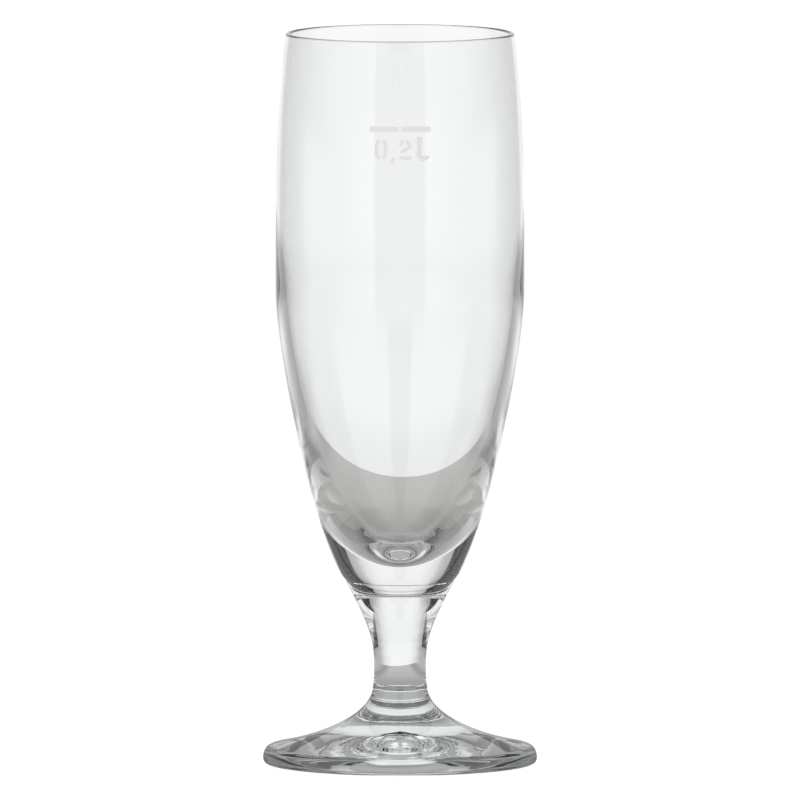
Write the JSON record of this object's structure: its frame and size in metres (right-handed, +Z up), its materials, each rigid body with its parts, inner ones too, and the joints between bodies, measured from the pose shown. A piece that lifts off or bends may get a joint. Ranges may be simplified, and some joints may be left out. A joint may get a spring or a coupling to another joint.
{
  "type": "tulip beer glass",
  "caption": "Stemmed tulip beer glass: slim open bowl on a heavy base, short flared stem, wide round foot, and an enamel fill line on the front.",
  "frame": {"origin": "centre of the foot's resting ring, on the table", "axes": "+Z up along the centre line of the glass, -Y out of the front, where the gauge mark is"},
  "size_m": [0.0666, 0.0666, 0.178],
  "materials": {
    "bowl_glass": "clear blown soda-lime glass with a fire-polished rim",
    "stem_glass": "clear solid glass, smooth",
    "foot_glass": "clear pressed glass, smooth, with a worn resting ring",
    "gauge_enamel": "thin pale grey enamel, fired on, satin"
  },
  "bodies": {
    "root": {"bowl": "bowl_glass", "stem": "stem_glass", "foot": "foot_glass", "fill_line_left": "gauge_enamel", "fill_line_right": "gauge_enamel", "zero_left": "gauge_enamel", "zero_right": "gauge_enamel", "decimal_comma": "gauge_enamel", "two_hook": "gauge_enamel", "two_stroke": "gauge_enamel", "two_base": "gauge_enamel", "litre_sign": "gauge_enamel"}
  },
  "joints": []
}
